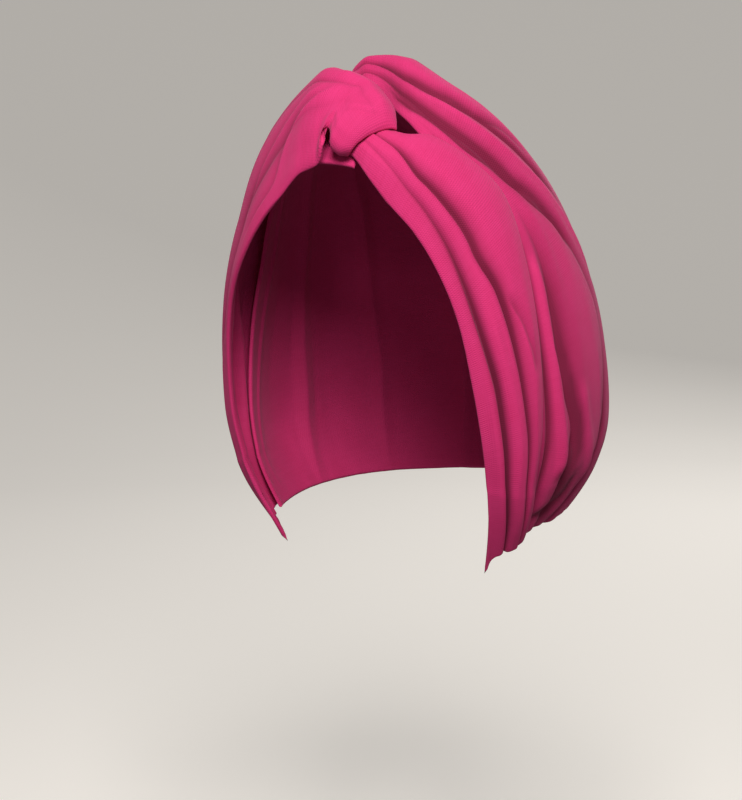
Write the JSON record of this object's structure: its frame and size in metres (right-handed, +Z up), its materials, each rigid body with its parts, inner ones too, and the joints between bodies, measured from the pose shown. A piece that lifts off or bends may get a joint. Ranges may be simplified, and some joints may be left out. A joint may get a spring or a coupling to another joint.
{
  "type": "turban headwrap",
  "caption": "Knotted cloth turban headwrap in its worn shape, with a crossed knot above the forehead, gathered folds down the sides and an open face.",
  "frame": {"origin": "where the wrap sits on what wears it: the highest point of its hollow, under the crown", "axes": "-Y out of the face opening, +X to the wearer's left, +Z up"},
  "size_m": [0.1613, 0.1638, 0.211],
  "materials": {
    "left_front_jersey": "matte doubled knit",
    "left_rear_jersey": "matte doubled knit",
    "right_over_jersey": "matte doubled knit",
    "right_under_jersey": "matte doubled knit"
  },
  "bodies": {
    "root": {"left_front_band": "left_front_jersey", "left_rear_band": "left_rear_jersey", "right_over_band": "right_over_jersey", "right_under_band": "right_under_jersey"}
  },
  "joints": []
}
